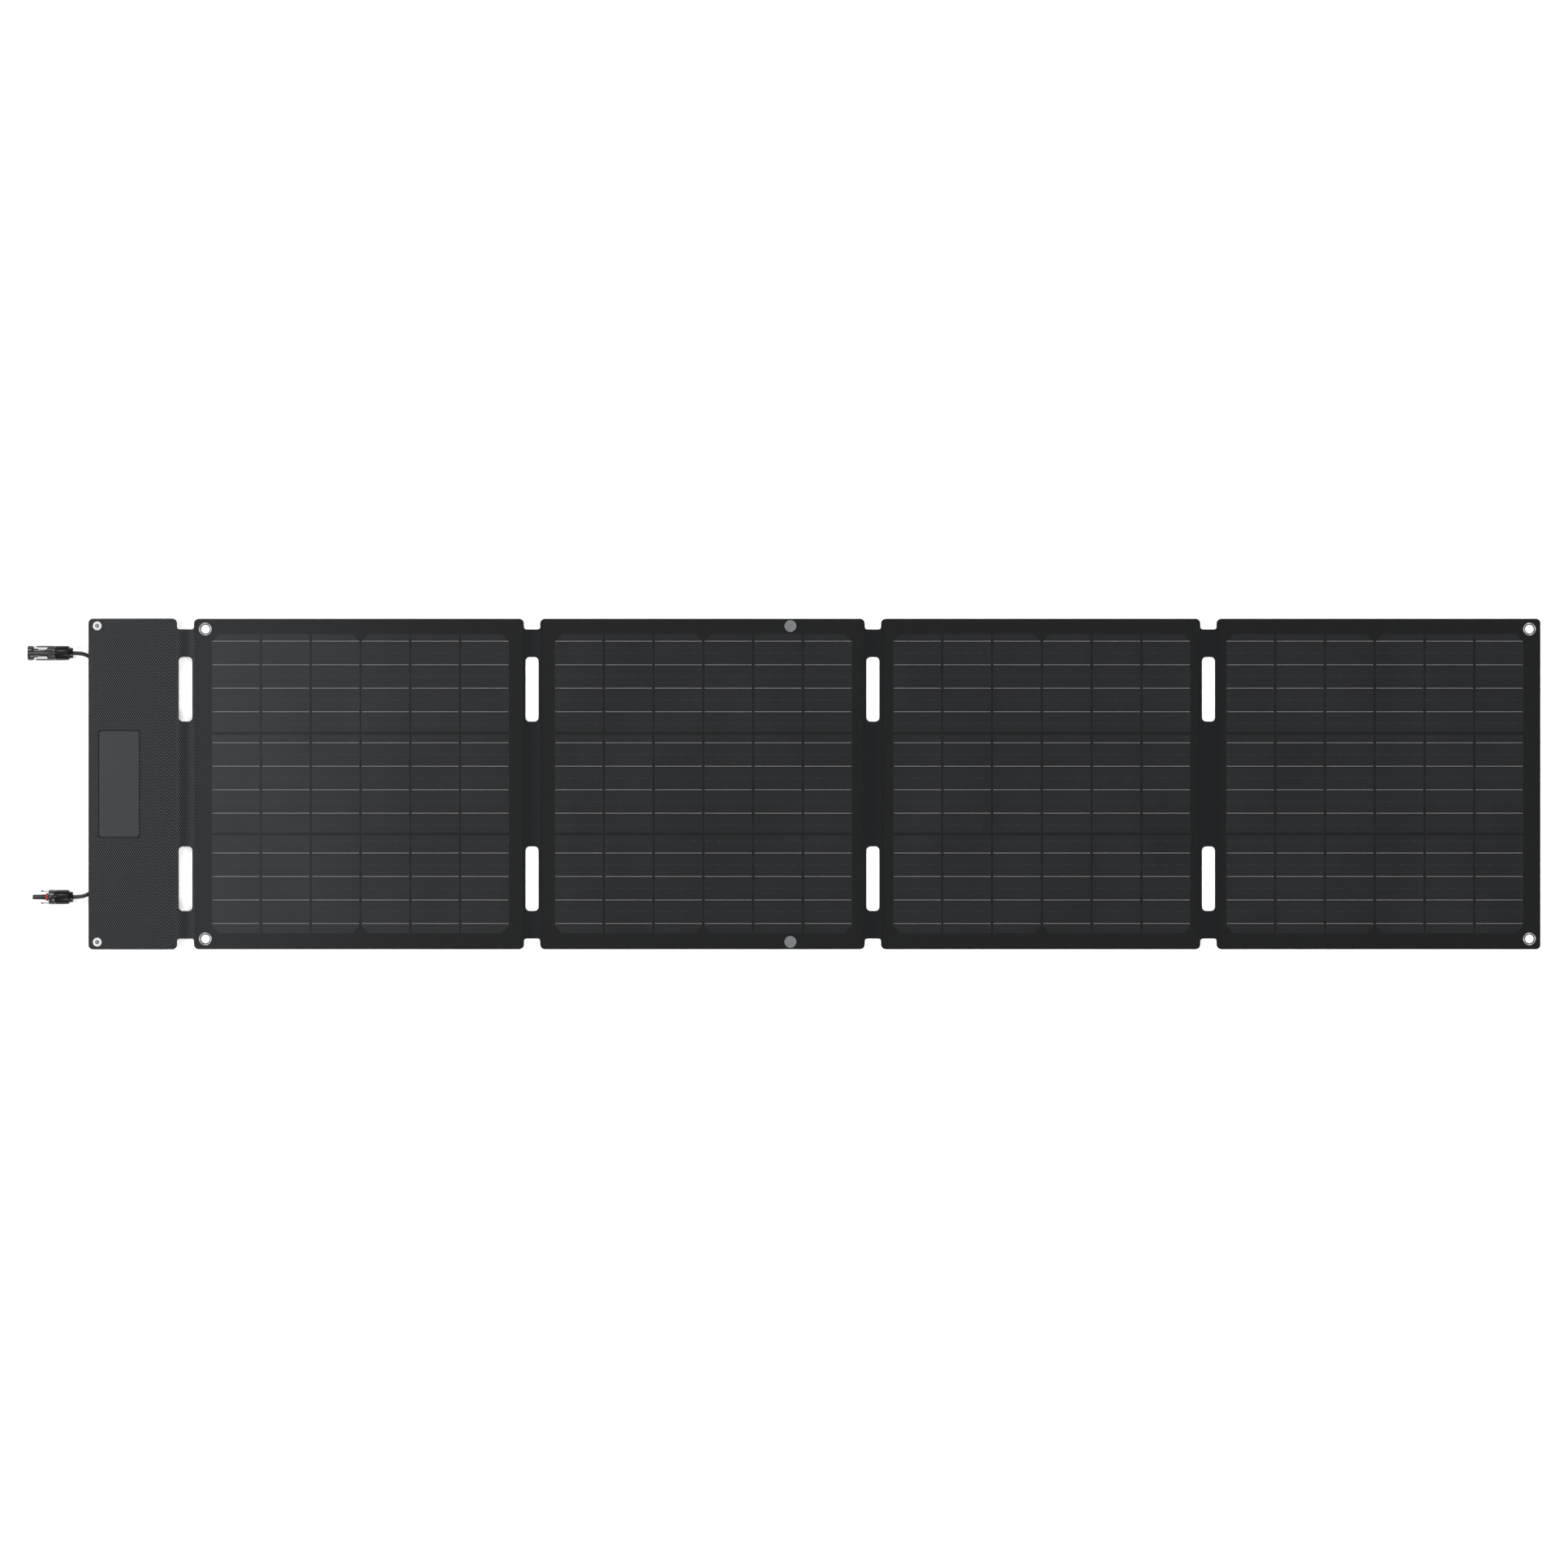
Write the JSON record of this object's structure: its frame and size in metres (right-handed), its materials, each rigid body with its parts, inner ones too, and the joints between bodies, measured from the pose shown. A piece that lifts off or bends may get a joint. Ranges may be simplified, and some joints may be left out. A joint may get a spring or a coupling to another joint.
{
  "type": "flexible solar sheet",
  "caption": "Long dark folding solar sheet: rigid cell panels joined by slotted flexible folds, with corner eyelets, a snap-down flap, a junction box and short plug-ended leads.",
  "frame": {"origin": "centre of the open sheet's outline, on the surface it lies on", "axes": "+X along the sheet from the flap to the last panel, +Y across it, +Z out of the front face"},
  "size_m": [1.8631, 0.4072, 0.0192],
  "materials": {
    "front_film": "satin embossed clear fluoropolymer film",
    "encapsulant": "dark encapsulant, seen between the cells",
    "solar_cell": "near-black silicon",
    "tinned_ribbon": "tinned copper ribbon, dulled by the film",
    "glass_fibre_board": "black glass-fibre board",
    "back_fabric": "black woven polyester",
    "fold_web": "black coated fabric under embossed film",
    "flap_film": "embossed black film",
    "eyelet_chrome": "nickel plate",
    "snap_grey": "grey satin",
    "snap_steel": "bright nickel",
    "box_plate": "smooth satin black plastic",
    "box_housing": "moulded black plastic",
    "rubber": "black rubber",
    "screw_steel": "zinc-plated steel",
    "circuit_board": "green solder mask",
    "diode_body": "black moulding",
    "terminal_brass": "bare brass",
    "lead_jacket": "black cable jacket",
    "plug_plastic": "moulded black plastic",
    "contact_metal": "tin-plated copper",
    "red_seal": "red silicone"
  },
  "bodies": {
    "panel_1": {"panel_1_front_film": "front_film", "panel_1_encapsulant": "encapsulant", "panel_1_cells": "solar_cell", "panel_1_ribbons": "tinned_ribbon", "panel_1_stiffener_board": "glass_fibre_board", "panel_1_back_fabric": "back_fabric", "panel_1_eyelets": "eyelet_chrome", "panel_1_eyelet_washers": "eyelet_chrome", "fold_web_flap": "fold_web", "fold_web_12": "fold_web"},
    "panel_2": {"panel_2_front_film": "front_film", "panel_2_encapsulant": "encapsulant", "panel_2_cells": "solar_cell", "panel_2_ribbons": "tinned_ribbon", "panel_2_stiffener_board": "glass_fibre_board", "panel_2_back_fabric": "back_fabric", "fold_web_23": "fold_web", "panel_2_snap_caps": "snap_grey", "panel_2_snap_sockets": "snap_steel"},
    "panel_3": {"panel_3_front_film": "front_film", "panel_3_encapsulant": "encapsulant", "panel_3_cells": "solar_cell", "panel_3_ribbons": "tinned_ribbon", "panel_3_stiffener_board": "glass_fibre_board", "panel_3_back_fabric": "back_fabric", "fold_web_34": "fold_web"},
    "panel_4": {"panel_4_front_film": "front_film", "panel_4_encapsulant": "encapsulant", "panel_4_cells": "solar_cell", "panel_4_ribbons": "tinned_ribbon", "panel_4_stiffener_board": "glass_fibre_board", "panel_4_back_fabric": "back_fabric", "panel_4_eyelets": "eyelet_chrome", "panel_4_eyelet_washers": "eyelet_chrome"},
    "flap": {"flap_front_film": "flap_film", "flap_stiffener_board": "glass_fibre_board", "flap_back_fabric": "back_fabric", "flap_snap_studs": "snap_steel", "flap_snap_backs": "snap_grey", "box_front_plate": "box_plate", "box_housing": "box_housing", "box_gasket": "rubber", "box_screws": "screw_steel", "box_circuit_board": "circuit_board", "box_bypass_diodes": "diode_body", "box_terminals": "terminal_brass", "box_cable_glands": "rubber", "first_lead_cable": "lead_jacket", "second_lead_cable": "lead_jacket", "first_plug_housing": "plug_plastic", "first_plug_nut": "plug_plastic", "first_plug_seal": "rubber", "first_plug_contact": "contact_metal", "second_plug_housing": "plug_plastic", "second_plug_nut": "plug_plastic", "second_plug_seal": "rubber", "second_plug_contact": "contact_metal", "second_plug_o_ring": "red_seal"}
  },
  "joints": [
    {"name": "fold_flap", "type": "hinge", "parent": "panel_1", "child": "flap", "pos_m": [-0.775, 0, 0.02046], "axis": [0, 1, 0], "range_deg": [0, 179.9], "deforming": ["fold_web_flap"]},
    {"name": "fold_12", "type": "hinge", "parent": "panel_1", "child": "panel_2", "pos_m": [-0.3485, 0, 0.0076], "axis": [0, -1, 0], "range_deg": [0, 178.7], "deforming": ["fold_web_12"]},
    {"name": "fold_23", "type": "hinge", "parent": "panel_2", "child": "panel_3", "pos_m": [0.0715, 0, 0.0055], "axis": [0, -1, 0], "range_deg": [0, 179.9], "deforming": ["fold_web_23"]},
    {"name": "fold_34", "type": "hinge", "parent": "panel_3", "child": "panel_4", "pos_m": [0.485, 0, 0.0034], "axis": [0, -1, 0], "range_deg": [0, 179.9], "deforming": ["fold_web_34"]}
  ]
}
